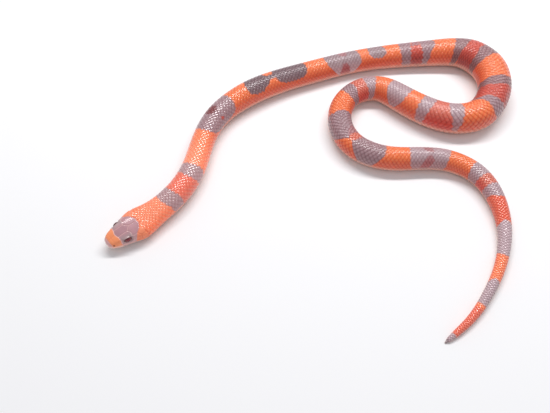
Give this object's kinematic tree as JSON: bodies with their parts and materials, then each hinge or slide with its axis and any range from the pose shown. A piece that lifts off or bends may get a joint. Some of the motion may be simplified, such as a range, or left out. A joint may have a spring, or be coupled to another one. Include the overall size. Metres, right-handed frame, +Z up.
{
  "type": "milk snake",
  "caption": "Life-size still model of a young milk snake lying in loose loops on the floor, orange with lavender and red saddles.",
  "frame": {"origin": "on the floor, under the middle of the whole snake's box", "axes": "+Z up; +X to the viewer's right, the longest extent of the loops; +Y away from the viewer; the head lies at -X"},
  "size_m": [0.1383, 0.1268, 0.0116],
  "materials": {
    "skin": "smooth glossy scales, orange with lavender and red saddles, paler below",
    "head_shields": "smooth horny shields, lavender crown and orange muzzle",
    "lower_jaw": "smooth pale shields, pinkish cream",
    "eyes": "wet gloss, dark maroon"
  },
  "bodies": {
    "root": {"head": "head_shields", "lower_jaw": "lower_jaw", "eye_left": "eyes", "eye_right": "eyes", "neck": "skin", "torso_01": "skin", "torso_02": "skin", "torso_03": "skin", "torso_04": "skin", "torso_05": "skin", "torso_06": "skin", "torso_07": "skin", "torso_08": "skin", "torso_09": "skin", "torso_10": "skin", "torso_11": "skin", "torso_12": "skin", "torso_13": "skin", "torso_14": "skin", "tail_01": "skin", "tail_02": "skin", "tail_tip": "skin"}
  },
  "joints": []
}
